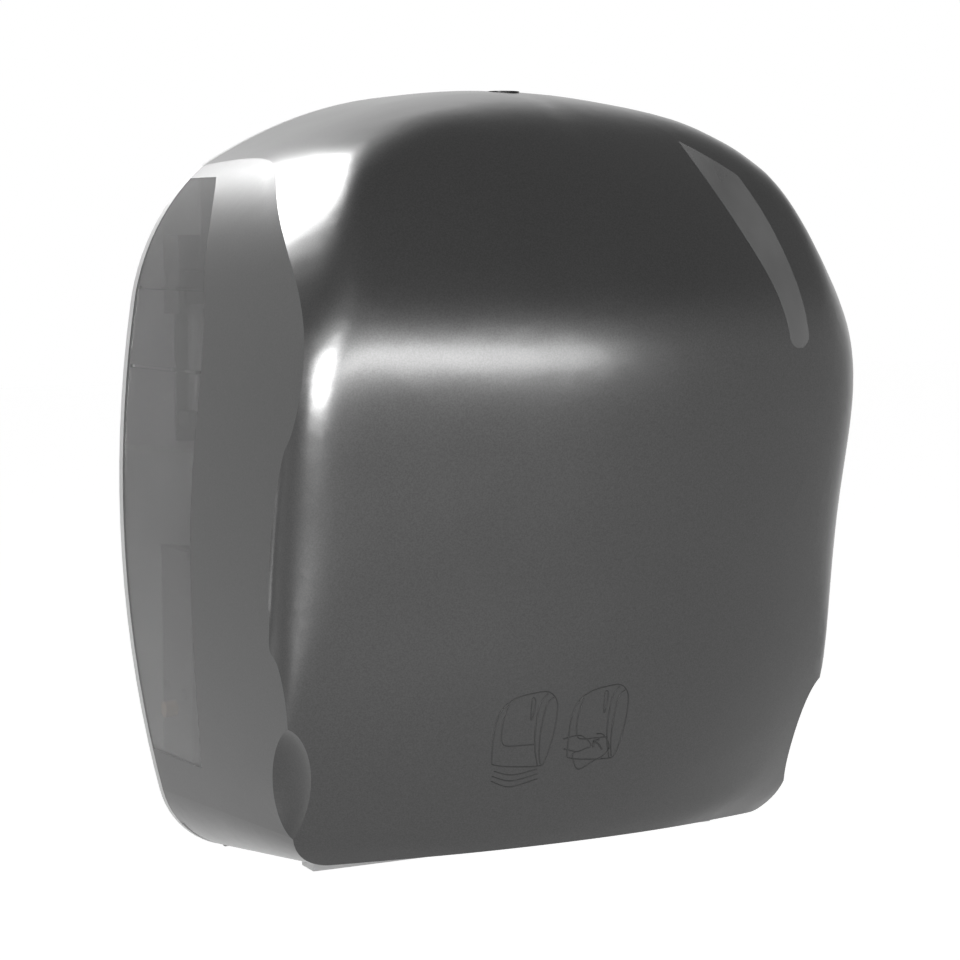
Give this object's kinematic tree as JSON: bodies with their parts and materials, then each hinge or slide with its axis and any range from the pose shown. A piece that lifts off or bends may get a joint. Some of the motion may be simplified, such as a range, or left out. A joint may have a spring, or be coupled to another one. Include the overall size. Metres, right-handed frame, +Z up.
{
  "type": "automatic roll towel dispenser",
  "caption": "Wall-mounted hands-free paper roll towel dispenser with a hinged smoked-window cover, key lock, roll arms, geared feed roller, pinch roller and tear bar.",
  "frame": {"origin": "middle of the four wall screw holes, on the wall plane", "axes": "+X to the viewer's right, +Y into the wall, +Z up; the front faces -Y"},
  "size_m": [0.333, 0.22, 0.386],
  "materials": {
    "cover_shell": "metallic grey moulded plastic, satin",
    "window_smoke": "smoked transparent plastic",
    "shell_grey": "light grey moulded plastic",
    "frame_plastic": "mid grey moulded plastic",
    "beige_plastic": "beige moulded plastic",
    "arm_plastic": "grey moulded plastic",
    "hub_plastic": "dark grey moulded plastic",
    "light_plastic": "off-white moulded plastic",
    "steel": "bright steel",
    "lock_metal": "dulled plated zinc",
    "gear_nylon": "natural nylon",
    "roller_rubber": "soft black rubber",
    "motor_can": "plated motor can",
    "cell_wrap": "dark shrink sleeve",
    "contact_metal": "plated brass spring plate",
    "button_plastic": "blue moulded plastic",
    "board_green": "green circuit board",
    "chip_black": "black moulded parts",
    "lens_dark": "dark infrared window"
  },
  "bodies": {
    "base": {"back_shell": "shell_grey", "chassis": "frame_plastic", "chassis_screws": "steel", "hinge_pins": "steel", "side_frame_left": "frame_plastic", "side_frame_right": "frame_plastic", "upper_frames": "frame_plastic", "frame_pins": "beige_plastic", "arm_brackets": "frame_plastic", "arm_pins": "steel", "latch_post": "frame_plastic", "mech_plate_left": "steel", "mech_plate_right": "steel", "feed_bushes": "gear_nylon", "idler_pin": "steel", "motor": "motor_can", "gear_cover": "frame_plastic", "pinch_pivot_rod": "steel", "pinch_springs": "steel", "front_beam": "frame_plastic", "paper_chute": "light_plastic", "tear_bar": "steel", "paper_guide": "beige_plastic", "battery_box": "frame_plastic", "battery_lid": "frame_plastic", "battery_cells": "cell_wrap", "battery_contacts": "contact_metal", "control_panel": "light_plastic", "circuit_board": "board_green", "board_posts": "chip_black", "board_parts": "chip_black", "sensor_housing": "frame_plastic", "sensor_lens": "lens_dark"},
    "cover": {"front_cover": "cover_shell", "side_window_left": "window_smoke", "side_window_right": "window_smoke", "level_window": "window_smoke", "lock_barrel": "lock_metal", "lock_nut": "lock_metal"},
    "lock": {"lock_core": "lock_metal", "lock_cam": "lock_metal"},
    "arm_left": {"roll_arm_left": "arm_plastic"},
    "arm_right": {"roll_arm_right": "arm_plastic"},
    "hub_left": {"roll_hub_left": "hub_plastic", "hub_clip_left": "steel"},
    "hub_right": {"roll_hub_right": "hub_plastic", "hub_clip_right": "steel"},
    "feed": {"feed_shaft": "steel", "feed_roller_core": "gear_nylon", "feed_sleeves": "roller_rubber", "roller_gear": "gear_nylon", "feed_knob": "hub_plastic"},
    "idler": {"idler_gear": "gear_nylon"},
    "rotor": {"motor_pinion": "gear_nylon", "motor_shaft": "steel"},
    "pinch_arm": {"pinch_frame": "steel"},
    "pinch_roll": {"pinch_roller": "roller_rubber"},
    "button": {"feed_button": "button_plastic"},
    "selector": {"length_selector": "button_plastic"}
  },
  "joints": [
    {"name": "cover_hinge", "type": "hinge", "parent": "base", "child": "cover", "pos_m": [0, -0.015, -0.181], "axis": [1, 0, 0], "range_deg": [0, 90]},
    {"name": "lock_turn", "type": "hinge", "parent": "cover", "child": "lock", "pos_m": [0, -0.094, 0.185], "axis": [0, 0, -1], "range_deg": [0, 90]},
    {"name": "arm_left_swing", "type": "hinge", "parent": "base", "child": "arm_left", "pos_m": [-0.127, -0.013, 0.062], "axis": [0, 0, -1], "range_deg": [0, 5]},
    {"name": "arm_right_swing", "type": "hinge", "parent": "base", "child": "arm_right", "pos_m": [0.127, -0.013, 0.062], "axis": [0, 0, 1], "range_deg": [0, 5]},
    {"name": "hub_left_spin", "type": "hinge", "parent": "arm_left", "child": "hub_left", "pos_m": [-0.12, -0.11, 0.062], "axis": [1, 0, 0], "continuous": true},
    {"name": "hub_right_spin", "type": "hinge", "parent": "arm_right", "child": "hub_right", "pos_m": [0.12, -0.11, 0.062], "axis": [1, 0, 0], "continuous": true},
    {"name": "feed_spin", "type": "hinge", "parent": "base", "child": "feed", "pos_m": [0, -0.066, -0.112], "axis": [1, 0, 0], "continuous": true},
    {"name": "idler_spin", "type": "hinge", "parent": "base", "child": "idler", "pos_m": [-0.127, -0.05975, -0.07655], "axis": [1, 0, 0], "continuous": true},
    {"name": "motor_spin", "type": "hinge", "parent": "base", "child": "rotor", "pos_m": [-0.127, -0.07266, -0.05812], "axis": [1, 0, 0], "continuous": true},
    {"name": "pinch_swing", "type": "hinge", "parent": "base", "child": "pinch_arm", "pos_m": [0, -0.1, -0.08], "axis": [-1, 0, 0], "range_deg": [0, 5], "stiffness_Nm_per_rad": 2, "springref_deg": -11.46},
    {"name": "pinch_spin", "type": "hinge", "parent": "pinch_arm", "child": "pinch_roll", "pos_m": [0, -0.0943, -0.112], "axis": [1, 0, 0], "continuous": true},
    {"name": "button_press", "type": "slide", "parent": "base", "child": "button", "axis": [0, 1, 0], "range_m": [0, 0.002], "stiffness_N_per_m": 300},
    {"name": "selector_slide", "type": "slide", "parent": "base", "child": "selector", "axis": [1, 0, 0], "range_m": [0, 0.008]}
  ],
  "couplings": [
    {"joint": "idler_spin", "follows": "feed_spin", "ratio": -1.4},
    {"joint": "motor_spin", "follows": "feed_spin", "ratio": 2.8},
    {"joint": "pinch_spin", "follows": "feed_spin", "ratio": -2.1111}
  ]
}
